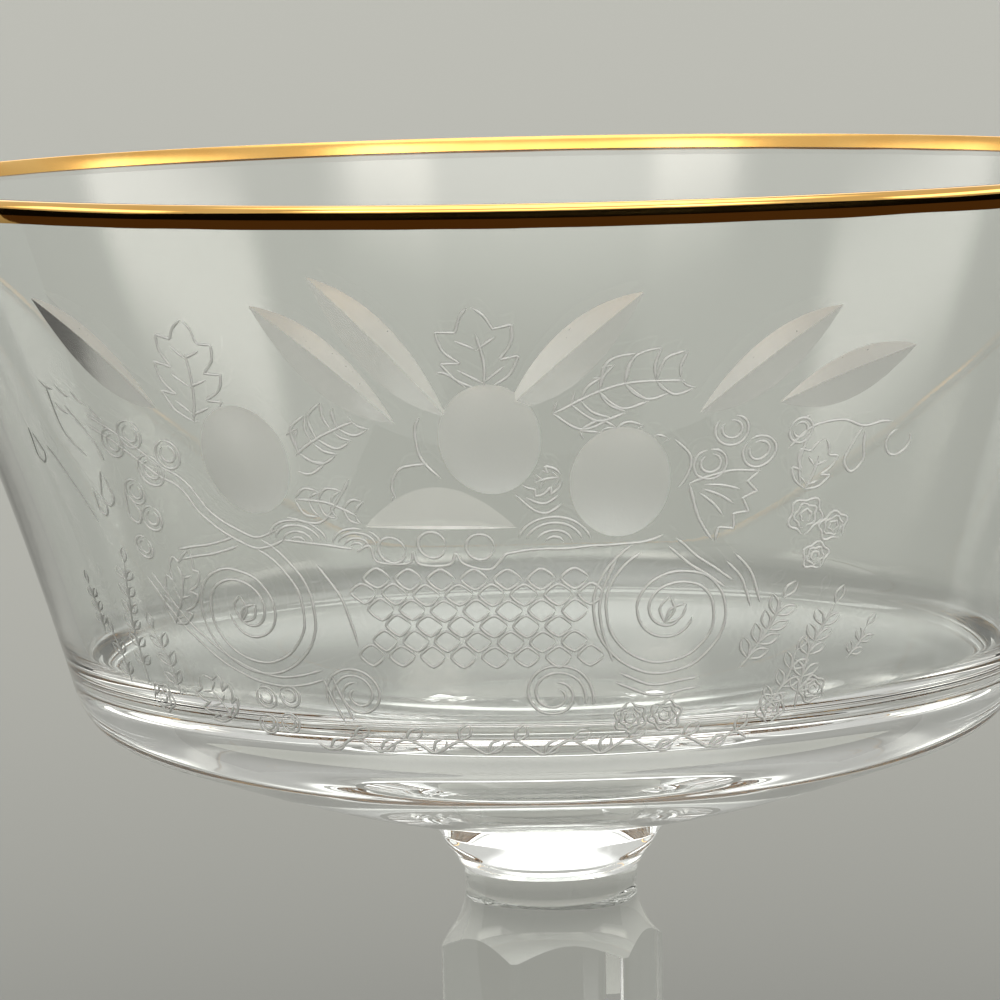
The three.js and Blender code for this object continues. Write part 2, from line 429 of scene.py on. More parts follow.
wheelCuts = {
    "leaves": [  # azimuth, drop, tilt
        (-42, 10, 139), (-18.5, 10.2, 136), (-13.5, 9, 129), (2.7, 9.4, 43), (19.5, 10.4, 39),
        (27.2, 11.7, 20)],
    "leafDepth": 0.44, "leafSpread": 3.86, "leafWheel": 62.5, "leafReach": 14, "leafSteps": 56,
    "flank": 6.0,
    "moon": (-9.7, 21, 0), "moonDepth": 0.484, "moonSpread": 6.0,
    "fruits": [(-4.6, 15), (6.9, 18), (-27.8, 16.6)],  # azimuth, drop
    "fruitWheel": 16.0, "fruitDepth": 0.45, "fruitReach": 26, "fruitSteps": 24, "fruitSides": 96,
    # room that the etched lines keep clear
    "leafHalf": (6.5, 2.0), "fruitHalf": 3.75, "moonHalf": (5.0, 2.9), "moonBelow": 0.2,
}


# part of a wheel whose edge is a V, standing in the wall: below and above are its two flank widths
def mitreTool(name, azimuth, drop, tilt, depth, spread, below, above, aboveFinish, belowFinish):
    place, across, up, out = onWall(azimuth, drop)
    turn = radians(tilt)
    along = across * cos(turn) + up * sin(turn)
    spindle = out.cross(along)
    wheel, reach, steps = [wheelCuts[k] for k in ("leafWheel", "leafReach", "leafSteps")]
    centre = place + out * (wheel - depth)
    top = wheel - wheelCuts["flank"] / spread
    section = list(dict.fromkeys([
        (wheel, 0), (wheel - above / spread, above), (top, above), (top, -below),
        (wheel - below / spread, -below)]))
    bm = bmesh.new()
    rings = []
    for i in range(steps + 1):
        a = radians(-reach + 2 * reach * i / steps)
        arm = along * sin(a) - out * cos(a)
        rings.append([bm.verts.new((centre + arm * r + spindle * s) * mm) for r, s in section])
    for first, second in zip(rings, rings[1:]):
        for i in range(len(section)):
            k = (i + 1) % len(section)
            face = bm.faces.new((first[i], first[k], second[k], second[i]))
            face.material_index = int(k == 0)
    bm.faces.new(rings[0])
    bm.faces.new(list(reversed(rings[-1])))
    return addObject(name, writeMesh(bm, bpy.data.meshes.new(name)), aboveFinish, belowFinish)


# the round edge of a fruit wheel, which leaves a shallow dish
def dishTool(name, azimuth, drop):
    place, across, up, out = onWall(azimuth, drop)
    w = wheelCuts
    radius, steps = w["fruitWheel"], w["fruitSteps"]
    low = radius - w["fruitDepth"]
    arc = []
    for i in range(steps + 1):
        a = radians(w["fruitReach"]) * i / steps
        arc.append((radius * sin(a), low - radius * cos(a)))
    mesh = turnedMesh(name, arc + [(0, arc[-1][1])], w["fruitSides"])
    axes = Matrix((across, up, out)).transposed().to_4x4()
    mesh.transform(Matrix.Translation(place * mm) @ axes)
    return addObject(name, mesh, fruitCut)


def makeBowl():
    body = addObject("bowl_crystal", turnedMesh("bowl_crystal", bowlOutline(), b["sides"]), crystal)
    w = wheelCuts
    tools = []
    for i, (azimuth, drop, tilt) in enumerate(w["leaves"]):
        # the flank that faces the light gets the lit copy, painted lighter, and the other the shaded copy,
        # painted dimmer
        flanks = (litLeafCut, shadedLeafCut) if tilt < 90 else (shadedLeafCut, litLeafCut)
        tools.append(mitreTool(f"leafTool{i}", azimuth, drop, tilt, w["leafDepth"], w["leafSpread"],
                               w["flank"], w["flank"], *flanks))
    # on the moon the steep lower flank gets the lit copy and the broad flank the shaded one
    tools.append(mitreTool("moonTool", *w["moon"], w["moonDepth"], w["moonSpread"],
                           0, w["flank"], shadedLeafCut, litLeafCut))
    for i, (azimuth, drop) in enumerate(w["fruits"]):
        tools.append(dishTool(f"fruitTool{i}", azimuth, drop))
    carve(body, tools)
    smoothShade(body)
    fuseFaces(body, [seatHeight])
    return body


bowl = makeBowl()
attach(bowl, "root")
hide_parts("bowl")
print("bowl cut:", len(bowl.data.polygons), "faces,", [m.name for m in bowl.data.materials])


# etched line-work: strokes are drawn flat in mm, across and up from a spot, then laid on the wall

etch = {
    "width": 0.2, "height": 0.035, "sunk": 0.03, "step": 0.22, "gap": 0.8, "lowest": 36.9,
    "crest": 0.25, "ends": (0.6, 2.5),  # share of the width on top, and steps over which an end thins
    "wobble": 0.09, "wobbleScale": 0.55, "uneven": 0.25, "unevenScale": 1.7,
    "arcStep": 9, "spiralStep": 7,  # degrees
}
elsewhere = Vector((40, 0, 0))  # a second place in the noise


# a smooth line through points
def smoothLine(points):
    last = len(points) - 1
    steps = 8
    line = []
    for i in range(last):
        a, p, q, d = [points[min(max(i + k, 0), last)] for k in (-1, 0, 1, 2)]
        for j in range(steps):
            t = j / steps
            line.append(tuple(
                p[k] + t * (q[k] - a[k]) / 2 + t * t * (a[k] - 2.5 * p[k] + 2 * q[k] - d[k] / 2)
                + t ** 3 * (1.5 * (p[k] - q[k]) + (d[k] - a[k]) / 2) for k in (0, 1)))
    line.append(points[-1])
    return line


# a line moved sideways, to its left
def beside(line, distance):
    moved = []
    last = len(line) - 1
    for i, (u, v) in enumerate(line):
        before, after = line[max(i - 1, 0)], line[min(i + 1, last)]
        du, dv = after[0] - before[0], after[1] - before[1]
        length = hypot(du, dv) or 1
        moved.append((u - distance * dv / length, v + distance * du / length))
    return moved


def doubled(line, gap=etch["gap"]):
    return [beside(line, gap / 2), beside(line, -gap / 2)]


def arcLine(radius, start=0, sweep=360, centre=(0, 0), squash=1):
    count = max(8, int(abs(sweep) / etch["arcStep"]))
    line = []
    for i in range(count + 1):
        a = radians(start + sweep * i / count)
        line.append((centre[0] + radius * cos(a), centre[1] + radius * squash * sin(a)))
    return line


# a grape: two rings, one in the other
def grape(radius):
    return [arcLine(radius), arcLine(0.6 * radius, 20, 330, (0.06 * radius, -0.04 * radius))]


def spiralLine(outer, inner, start, sweep):
    count = int(abs(sweep) / etch["spiralStep"])
    line = []
    for i in range(count + 1):
        t = i / count
        r = inner + (outer - inner) * (1 - t) ** 1.25
        a = radians(start + sweep * t)
        line.append((r * cos(a), r * sin(a)))
    return line


# a scroll of two lines that winds in to a small bud
def volute(outer, inner, start, sweep):
    bud = petal((-0.5, -0.8), (-0.2, 1.2), 0.24) + petal((-0.5, -0.8), (0.95, 0.6), 0.24)
    sized = [[(inner * u, inner * v) for u, v in stroke] for stroke in bud]
    return doubled(spiralLine(outer, inner, start, sweep)) + sized


# a bowed stroke between two points
def bow(start, end, bulge):
    du, dv = end[0] - start[0], end[1] - start[1]
    middle = (start[0] + 0.52 * du - bulge * dv, start[1] + 0.52 * dv + bulge * du)
    return smoothLine([start, middle, end])


# a slim leaf: out along one side and back along the other
def petal(base, tip, fullness):
    return [bow(base, tip, fullness), bow(base, tip, -fullness)]


# a leaf with pointed lobes, drawn upwards from its foot, with a rib and veins
def lobedLeaf(length, width, lobes):
    strokes = [smoothLine([(0, 0), (0.05 * width, 0.35 * length), (0, 0.7 * length)])]
    for side in (-1, 1):
        edge = [(0, 0)]
        for i in range(lobes):
            t = (i + 0.55) / (lobes + 0.6)
            reach = side * width / 2 * sin(pi * (0.28 + 0.6 * t))
            edge += bow(edge[-1], (reach, (t + 0.3 / lobes) * length), -0.14 * side)
            edge.append((0.48 * reach, (t + 0.24 / lobes) * length))
            strokes.append([(0, (t - 0.25 / lobes) * length), (0.6 * reach, (t + 0.08 / lobes) * length)])
        edge += bow(edge[-1], (0, length), -0.1 * side)
        strokes.append(edge)
    return strokes


# a feathered leaf: a bent rib with sickles that sweep forwards from it
def plume(length, spread, count, bend):
    rib = smoothLine([(0, 0), (0.5 * length, bend), (length, 0)])
    last = len(rib) - 1
    strokes = [rib]
    for i in range(count):
        t = 0.05 + 0.72 * i / (count - 1)
        root = rib[int(t * last)]
        back = rib[min(int((t + 0.2) * last), last)]
        for side in (-1, 1):
            reach = spread * sin(pi * (0.3 + 0.55 * t)) * (1 if side > 0 else 0.75)
            tip = (root[0] + 0.42 * length * (1 - 0.45 * t), root[1] + side * reach)
            strokes += [bow(root, tip, 0.26 * side), bow(tip, back, -0.12 * side)]
    return strokes


# a fan-shaped vine leaf: two edges, a toothed rim and veins
def fanLeaf(radius, start, sweep, teeth):
    rim = []
    for i in range(2 * teeth + 1):
        a = radians(start + sweep * i / (2 * teeth))
        r = radius * (0.82 if i % 2 else 1)
        rim.append((r * cos(a), r * sin(a)))
    strokes = [rim, bow((0, 0), rim[0], 0.08), bow((0, 0), rim[-1], -0.08)]
    for i in range(2, 2 * teeth, 2):
        u, v = rim[i]
        strokes.append(bow((0.22 * u, 0.22 * v), (0.75 * u, 0.75 * v), 0.06))
    return strokes


# a hanging loop in the shape of a pear
def pear(height, width):
    w, h = width / 2, height
    return [smoothLine([
        (-0.1 * w, 0), (-0.75 * w, -0.5 * h), (-w, -0.78 * h), (0, -h),
        (w, -0.76 * h), (0.7 * w, -0.45 * h), (0.2 * w, -0.1 * h)])]


# a thin stalk with pairs of small leaves
def sprig(length, leaf, pairs, bend):
    stalk = smoothLine([(0, 0), (bend, 0.5 * length), (0, length)])
    strokes = [stalk]
    for i in range(pairs):
        root = stalk[int((0.2 + 0.75 * i / pairs) * (len(stalk) - 1))]
        for side in (-1, 1):
            strokes += petal(root, (root[0] + side * leaf * 0.75, root[1] + leaf * 0.8), 0.2)
    strokes += petal((0, length), (0.1 * leaf, length + leaf), 0.22)
    return strokes


# a small rose: wavy rings, each turned a little against the last
def rosette(radius, petals):
    steps = 60
    strokes = []
    for k, share in enumerate((1, 0.66, 0.34)):
        ring = []
        for i in range(steps + 1):
            a = 2 * pi * i / steps
            r = radius * share * (1 + 0.13 * cos(petals * a + 1.9 * k))
            ring.append((r * cos(a), r * sin(a)))
        strokes.append(ring)
    return strokes


# rows of diamonds with hollow sides, between two bowed sides
def lattice(half, waist, height, pitch, cell, hollow, columns):
    steps = 32
    diamond = []
    for i in range(steps + 1):
        c, s = cos(2 * pi * i / steps), sin(2 * pi * i / steps)
        x, y = copysign(abs(c) ** hollow, c), copysign(abs(s) ** hollow, s)
        diamond.append((cell[0] * x, cell[1] * y))
    strokes = []
    rows = int(2 * height / pitch[1])
    for row in range(rows + 1):
        v = height / 2 - row * height / rows
        side = half - waist * cos(pi * v / height)
        first = pitch[0] / 2 * (row % 2)
        for column in range(-columns, columns + 1):
            u = first + column * pitch[0]
            if abs(u) + 0.6 * cell[0] < side:
                strokes.append([(u + x, v + y) for x, y in diamond])
    return strokes


# strokes turned and put at a spot: each point becomes an azimuth and a drop
def laid(strokes, azimuth, drop, tilt=0):
    radius, lean = wallAt(lipHeight - drop)
    c, s = cos(radians(tilt)), sin(radians(tilt))
    rise = cos(lean)
    lines = []
    for stroke in strokes:
        lines.append([(azimuth + degrees((c * u - s * v) / radius), drop - (s * u + c * v) * rise)
                      for u, v in stroke])
    return lines


# one drawing laid many times: each row gives azimuth, drop, tilt and what the drawing needs
def laidRows(draw, rows):
    lines = []
    for azimuth, drop, tilt, *form in rows:
        lines += laid(draw(*form), azimuth, drop, tilt)
    return lines


# whether a place lies in a leaf, a fruit or the moon, where there is no wall left to etch
def inCut(azimuth, drop):
    w = wheelCuts
    radius, lean = wallAt(lipHeight - drop)

    def away(spot):
        return radians(azimuth - spot[0]) * radius, (spot[1] - drop) / cos(lean)

    for leaf in w["leaves"]:
        u, v = away(leaf)
        c, s = cos(radians(leaf[2])), sin(radians(leaf[2]))
        along, aside = (c * u + s * v) / w["leafHalf"][0], (c * v - s * u) / w["leafHalf"][1]
        if along ** 2 + aside ** 2 < 1:
            return True
    u, v = away(w["moon"])
    wide, high = w["moonHalf"]
    if abs(u) < wide and -w["moonBelow"] < v < high * (1 - (u / wide) ** 2):
        return True
    return any(hypot(*away(fruit)) < w["fruitHalf"] for fruit in w["fruits"])


# even steps along a line on the wall, broken where it meets a cut
def wallSteps(line):
    runs = [[]]
    carried = 0.0
    for start, end in zip(line, line[1:]):
        length = (onWall(*end)[0] - onWall(*start)[0]).length
        while carried < length:
            t = carried / length
            spot = (start[0] + t * (end[0] - start[0]), start[1] + t * (end[1] - start[1]))
            if inCut(*spot) or spot[1] > etch["lowest"]:
                if runs[-1]:
                    runs.append([])
            else:
                runs[-1].append(spot)
            carried += etch["step"]
        carried -= length
    return [run for run in runs if len(run) > 2]


# a closed thread of four sides along one run, its foot sunk in the wall and its ends drawn thin
def addThread(run, verts, faces):
    frames = [onWall(*spot) for spot in run]
    places = []
    for place, across, up, out in frames:
        spot = place * etch["wobbleScale"]
        u = etch["wobble"] * noise.noise(spot)
        v = etch["wobble"] * noise.noise(spot + elsewhere)
        places.append(place + across * u + up * v)
    last = len(run) - 1
    base = len(verts)
    for i, (place, across, up, out) in enumerate(frames):
        along = places[min(i + 1, last)] - places[max(i - 1, 0)]
        side = out.cross(along).normalized()
        thin = min(1, (min(i, last - i) + etch["ends"][0]) / etch["ends"][1])
        thin *= 1 + etch["uneven"] * noise.noise(place * etch["unevenScale"])
        half, high, low = etch["width"] / 2 * thin, etch["height"] * thin, -etch["sunk"]
        top = etch["crest"] * half
        for s, h in ((-half, low), (-top, high), (top, high), (half, low)):
            verts.append((places[i] + side * s + out * h) * mm)
    for i in range(base, base + 4 * last, 4):
        for k in range(4):
            n = (k + 1) % 4
            faces.append((i + k, i + n, i + 4 + n, i + 4 + k))
    faces.append((base, base + 1, base + 2, base + 3))
    end = base + 4 * last
    faces.append((end + 3, end + 2, end + 1, end))


def etchPiece(name, lines):
    verts, faces = [], []
    for line in lines:
        for run in wallSteps(line):
            addThread(run, verts, faces)
    mesh = bpy.data.meshes.new(name)
    mesh.from_pydata(verts, [], faces)
    bm = bmesh.new()
    bm.from_mesh(mesh)
    piece = addObject(name, writeMesh(bm, mesh), lineCut)
    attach(piece, "root")
    print("etched", name, len(faces), "faces")


# lines through spots that are already an azimuth and a drop, as they run on the wall
def wallLines(spots, gap=0.0):
    azimuth, drop = spots[0]
    radius, lean = wallAt(lipHeight - drop)
    flat = [(radians(a - azimuth) * radius, (drop - d) / cos(lean)) for a, d in spots]
    line = smoothLine(flat)
    return laid(doubled(line, gap) if gap else [line], azimuth, drop)


# basket: diamonds, a rim with a chain of rings, and two bowed ends

basketLines = {
    "spot": (-6.8, 27.1),
    "weave": {"half": 8.2, "waist": 0.5, "height": 5.6, "pitch": (2.1, 2.0), "cell": (0.87, 0.76),
              "hollow": 1.55, "columns": 6},
    "chain": [(-14.5, 22.5), (-10.6, 22.1), (-6.1, 22.2)], "ring": 0.9,
    "edges": [  # the scalloped rim, its left end and the two sides
        [(-18, 22.6), (-16.6, 22.2), (-16.1, 23.3), (-13, 23.3), (-12.5, 22.5), (-12, 23.4), (-9, 23.4),
         (-8.4, 22.6), (-7.6, 23.4), (-5.2, 23.7), (-3.9, 22.9), (-3, 22.6), (3, 22.3), (9, 22.1),
         (11.2, 21.6)],
        [(-25.6, 22), (-22, 22.2), (-18, 22.4)],
        [(6.7, 23.2), (5.2, 26.7), (6.7, 30.4)], [(-22.4, 23.6), (-20.2, 26.2), (-19.4, 29.4)]],
}


def etchBasket():
    k = basketLines
    lines = laid(lattice(**k["weave"]), *k["spot"])
    for spot in k["chain"]:
        lines += laid([arcLine(k["ring"])], *spot)
    for edge in k["edges"]:
        lines += wallLines(edge)
    etchPiece("etched_basket", lines)


# scrolls: a large one at each end of the basket, two small ones under it, and straps between

scrollLines = {
    "large": [  # spot, outer and inner radius, first angle, sweep
        ((12.5, 27.0), 5.3, 1.0, 118, 590), ((-31.7, 27.2), 5.5, 1.0, 66, -600)],
    "small": [((-20.3, 32.6), 2.0, 0.6, 200, -480), ((0.8, 32.4), 2.3, 0.6, -20, 480)],
    "smallGap": 0.5, "strapGap": 0.7,
    "straps": [[(12, 22.2), (14.5, 23.6), (18.2, 25.3)], [(17.9, 23.4), (19.8, 24.8), (21.1, 27)],
               [(-43.8, 25.3), (-40, 28.6), (-34.7, 31.1), (-29, 32), (-23.6, 31.3)],
               [(-38.5, 23.5), (-33.5, 22.9), (-30.8, 22.3)], [(-23.4, 31.5), (-22.4, 33.4), (-21.6, 34.6)],
               [(7.2, 31.4), (11, 32.3), (16, 31.9)]],
}


def etchScrolls():
    k = scrollLines
    lines = []
    for spot, *form in k["large"]:
        lines += laid(volute(*form), *spot)
    for spot, *form in k["small"]:
        lines += laid(doubled(spiralLine(*form), k["smallGap"]), *spot)
    for strap in k["straps"]:
        lines += wallLines(strap, k["strapGap"])
    etchPiece("etched_scrolls", lines)


# leaves, shells, a branch and further fruit round the ground fruit

foliage = {
    "lobed": [  # azimuth, drop, tilt, length, width, lobes
        (-4.8, 11.7, 6, 5.8, 5.2, 2), (-32.2, 14.2, -8, 7.4, 5.0, 3), (-36.8, 35.0, 35, 3.6, 3.4, 3),
        (24.6, 19.2, -14, 3.6, 3.2, 2), (-41.8, 28.6, -28, 6.4, 2.8, 3), (1.7, 17.6, 100, 2.6, 2.2, 2),
        (-23.8, 15.2, 70, 3.4, 2.4, 2)],
    "feathered": [  # azimuth, drop, tilt, length, spread, pairs, bend
        (0.9, 13.4, 14, 8.6, 2.0, 5, 0.9), (-23.6, 16.9, 32, 6.2, 1.9, 4, 0.4),
        (3.2, 14.6, -18, 5.4, 1.1, 3, 0.5), (-23.5, 19.2, -14, 4.4, 1.2, 3, 0.4)],
    "fans": [(13.2, 18.3, 0, 4.8, 8, -72, 4)],  # azimuth, drop, tilt, radius, first angle, sweep, teeth
    "outlines": [  # further fruit behind the ground ones
        [(-7.5, 12.8), (-10.6, 13.6), (-11, 15.9), (-9.2, 17.6)],
        [(-8.2, 13.5), (-9.6, 14.4), (-9.7, 15.8)],
        [(-10.2, 16.6), (-12.9, 17), (-13.7, 18.6), (-11.9, 19.6), (-8.6, 18.3)],
        [(-13.7, 18.8), (-15.2, 20.6), (-16.6, 21.4)],
        [(11.5, 15.3), (13.2, 16.6), (12.7, 18.1), (10.9, 19.4)],
        [(-1.6, 18.9), (0.2, 19.3), (2.4, 18.2)], [(-2.6, 18.7), (0.1, 20), (3.1, 18.4)],
        [(-24.6, 20.4), (-21, 20.6), (-17.6, 17.6)], [(-9.8, 11.9), (-8.4, 10.6), (-5.6, 12)]],
    "shells": [(0.9, 22.0, 0, 2.3), (-24.0, 22.2, 0, 2.1), (-17.9, 22.3, 0, 1.7), (-4.0, 13.1, 0, 1.3)],
    "branch": [(-46, 14.6), (-42, 16), (-38.5, 17.6), (-35.6, 18.6), (-33.4, 20.6), (-29, 22.3),
               (-25.5, 21.6)],
}


# a shell of arcs, one in the other
def shell(radius):
    return [arcLine(radius * share, 8, 164, (0, 0), 0.8) for share in (1, 0.78, 0.5, 0.26)]


def etchFoliage():
    lines = laidRows(lobedLeaf, foliage["lobed"]) + laidRows(plume, foliage["feathered"])
    lines += laidRows(fanLeaf, foliage["fans"])
    for outline in foliage["outlines"]:
        lines += wallLines(outline)
    lines += laidRows(shell, foliage["shells"]) + wallLines(foliage["branch"], etch["gap"])
    etchPiece("etched_foliage", lines)


# grapes and small roses

berries = {
    "grapes": [  # azimuth, drop, radius
        (16.7, 14.9, 1.1), (19.5, 16.4, 1.1), (15, 17.1, 1.05), (23.3, 15.2, 0.85), (-43.3, 16.1, 1.0),
        (-40.6, 15.4, 1.0), (-39.2, 17.8, 1.1), (-36.4, 16.6, 1.0), (-42.2, 19.4, 0.9), (-40.9, 21.2, 0.9),
        (-43.3, 23.3, 0.8), (-31.4, 33.2, 0.75), (-28.4, 33, 0.75), (-31.9, 35.1, 0.7), (-29, 34.9, 0.7)],
    "roses": [  # azimuth, drop, radius, petals
        (25.2, 21, 1.2, 5), (28.4, 21.9, 0.95, 5), (27, 23.8, 0.9, 5), (24.4, 34.2, 1.0, 5),
        (29.3, 33.2, 0.9, 5), (8.7, 34.2, 1.0, 6), (12.4, 34.1, 1.0, 6), (-47.3, 34.2, 1.0, 5)],
    "grapeTurn": 7, "roseTurn": 11,  # tilt for each degree of azimuth, so that no two stand alike
}


def etchBerries():
    lines = []
    for azimuth, drop, radius in berries["grapes"]:
        lines += laid(grape(radius), azimuth, drop, berries["grapeTurn"] * azimuth)
    for azimuth, drop, radius, petals in berries["roses"]:
        lines += laid(rosette(radius, petals), azimuth, drop, berries["roseTurn"] * azimuth)
    etchPiece("etched_berries", lines)


# tendrils at both ends of the fruit, and short strokes like tufts

tendrils = {
    "pears": [  # azimuth, drop, tilt, height, width
        (29.7, 15.2, -6, 3.3, 1.5), (-57, 15.8, 14, 2.6, 1.2), (-46.4, 18.2, -4, 2.6, 1.3),
        (-43.6, 19.4, 10, 2.4, 1.2), (-48.8, 19.6, 24, 2.0, 1.0)],
    "hooks": [(33.9, 16.5, 0, 0.95), (23.5, 13.6, 0, 0.8)],  # azimuth, drop, tilt, radius
    "lines": [
        [(-54.5, 16.9), (-52.2, 19), (-49.6, 22)], [(-50.6, 12.6), (-50.2, 15.6), (-47.6, 17.4)],
        [(-48.6, 13.8), (-46.2, 15.8), (-45.2, 17.6)],
        [(21.6, 13.4), (21.8, 14.4), (23, 14.1), (22.4, 13.2), (24.4, 12.9)],
        [(22.2, 16.3), (23.8, 15.3), (25.4, 14.8), (27.6, 14.7), (29.6, 15.2), (31.5, 15), (33, 15.1)],
        [(24.2, 15.4), (23.6, 17.2), (24.2, 19.2)]],
    "tufts": [(-49.6, 12.8, 15), (-47.4, 13.2, 5), (-45.4, 13.6, 0), (-48.3, 14.4, 7), (-43.6, 14.6, -5)],
}


def hook(radius):
    return [arcLine(radius, 110, 290)]


def tuft():
    return [bow((0, 0), (-1.2, 1.1), 0.12)]


def etchTendrils():
    lines = laidRows(pear, tendrils["pears"]) + laidRows(hook, tendrils["hooks"])
    for spots in tendrils["lines"]:
        lines += wallLines(spots)
    etchPiece("etched_tendrils", lines + laidRows(tuft, tendrils["tufts"]))


# sprigs beside the scrolls and a row of small leaves along the foot of the wall

sprigs = {
    "stalks": [  # azimuth, drop, tilt, length, leaf, pairs, bend
        (20.2, 31.2, -28, 5.4, 1.5, 4, 0.3), (23.6, 34.4, -24, 4.6, 1.3, 3, 0.4),
        (27.4, 34.4, -14, 7.6, 1.4, 5, -0.5), (33, 31.4, -30, 2.6, 1.1, 2, 0.2),
        (-49.4, 33.4, -8, 9.2, 1.2, 6, -0.5), (-55.6, 30.2, 4, 3.6, 1.0, 3, 0.2),
        (-44.2, 33.8, 12, 4.8, 1.3, 3, 0.3), (-53, 33.6, 10, 3.6, 1.2, 2, 0.2)],
    "vine": {"from": -26, "to": 22, "points": 33, "drop": 36.1, "wave": 0.45, "turn": 1.57, "waver": 0.8,
             "leaf": 1.5, "fullness": 0.26, "uneven": 0.5, "tilt": -50, "sway": 60},
}


# a waving stalk along the foot of the wall, with a small leaf at every other point
def vineLines():
    v = sprigs["vine"]
    spots, lines = [], []
    for i in range(v["points"]):
        azimuth = v["from"] + (v["to"] - v["from"]) * i / (v["points"] - 1)
        drop = v["drop"] + v["wave"] * sin(v["turn"] * i + v["waver"] * noise.noise((0.7 * i, 3, 0)))
        spots.append((azimuth, drop))
        if i % 2:
            tilt = v["tilt"] + v["sway"] * noise.noise((1.3 * i, 8, 0))
            length = v["leaf"] * (1 + v["uneven"] * noise.noise((i, 5, 0)))
            lines += laid(petal((0, 0), (0, length), v["fullness"]), azimuth, drop, tilt)
    return lines + wallLines(spots)


def etchSprigs():
    etchPiece("etched_sprigs", laidRows(sprig, sprigs["stalks"]) + vineLines())


etchBasket()
etchScrolls()
etchFoliage()
etchBerries()
etchTendrils()
etchSprigs()


# gold: a thin cap over the lip whose lower edges waver a little, as brushed gold does

goldShape = {"outside": 0.56, "inside": 0.2, "thickness": 0.12, "sunk": 0.03, "sides": 432,
             "waver": 0.05, "waverFrom": 0.2, "waverTurns": 9, "edgeAngle": 50}


def makeGold():
    g = goldShape
    outsideEnd = towards(lipOuter, flare, g["outside"])
    insideEnd = towards(lipInner, innerFlare, g["inside"])
    lip = joined([outsideEnd], lipOutline, [insideEnd])
    outer = beside(lip, -g["thickness"])
    inner = list(reversed(beside(lip, g["sunk"])))
    mesh = turnedMesh("gold_band", outer + inner, g["sides"])
    for v in mesh.vertices:
        below = lipOuter[1] - v.co.z / mm
        if below > g["waverFrom"]:
            a = atan2(v.co.x, -v.co.y)
            spot = (g["waverTurns"] * sin(a), g["waverTurns"] * cos(a), 0)
            v.co.z += g["waver"] * noise.noise(spot) * mm
    band = addObject("gold_band", mesh, gold, goldBack)
    # the hidden faces over the lip, without the two that show through the wall
    first, last = len(outer) + 1, len(outer) + len(inner) - 3
    for face in mesh.polygons:
        face.material_index = int(first <= face.index // g["sides"] <= last)
    band.visible_glossy = False
    smoothShade(band, g["edgeAngle"])
    return band


goldBand = makeGold()
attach(goldBand, "root")
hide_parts("gold_rim")
print("gold band on the lip")


# collar: a short neck that widens a little, and a hollow flare with three low rings up to the bowl

collarShape = {
    "neckRadius": 6.32, "neckTopRadius": 6.41, "neckHeight": 1.4, "flareHollow": 0.1, "sides": 256,
    "rings": [(0, 0.23, 0.1), (0.23, 0.6, 0.12), (0.6, 1, 0.02)],  # from and to in the flare, and swell
    "edgeAngle": 25,
}


def makeCollar():
    c = collarShape
    base, top = collarLow.z, collarHigh.z
    neck = (c["neckRadius"], base)
    neckTop = (c["neckTopRadius"], base + c["neckHeight"])
    seat = (seatRadius, top)
    out, up = seat[0] - neckTop[0], seat[1] - neckTop[1]
    hollow = 2 * c["flareHollow"] / hypot(out, up)
    bend = ((neckTop[0] + seat[0]) / 2 - hollow * up, (neckTop[1] + seat[1]) / 2 + hollow * out)
    side = []
    for r, z in bezier(neckTop, bend, seat, 60):
        t = (z - neckTop[1]) / up
        for first, second, swell in c["rings"]:
            if first < t < second:
                r += swell * sin(pi * (t - first) / (second - first))
        side.append((r, z))
    outline = joined([(0, base), neck], side, [(0, top)])
    collar = addObject("collar_flare", turnedMesh("collar_flare", outline, c["sides"]), crystal)
    smoothShade(collar, c["edgeAngle"])
    fuseFaces(collar, [base, top])
    return collar


collar = makeCollar()
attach(collar, "root")
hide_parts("collar")
print("collar flare turned")


# stem: a round rod with a coved shoulder, cropped to a six-sided form

stemShape = {
    "coveRadius": 5.9, "shoulderRadius": 8.6, "panels": 6, "knopRadius": 8.42, "knopLength": 12.0,
    "waistRadius": 6.0, "waistRise": 15.0, "panelFoot": 2.2, "firstCorner": -20.0, "sides": 300,
    "cornerBreak": 0.3, "coveSteps": 32,
}


# the corners between the panels are dulled by a narrow flat
def breakCorners(mesh, width):
    bm = bmesh.new()
    bm.from_mesh(mesh)
    level = 0.01 * mm  # edges that rise less lie in a ring or an end
    corners = []
    for edge in bm.edges:
        low, high = [v.co for v in edge.verts]
        if abs(low.z - high.z) > level and min(low.xy.length, high.xy.length) > mm:
            corners.append(edge)
    bmesh.ops.bevel(bm, geom=corners, offset=width * mm, offset_type="OFFSET", segments=1, profile=0.5,
                    affect="EDGES")
    bm.to_mesh(mesh)
    bm.free()


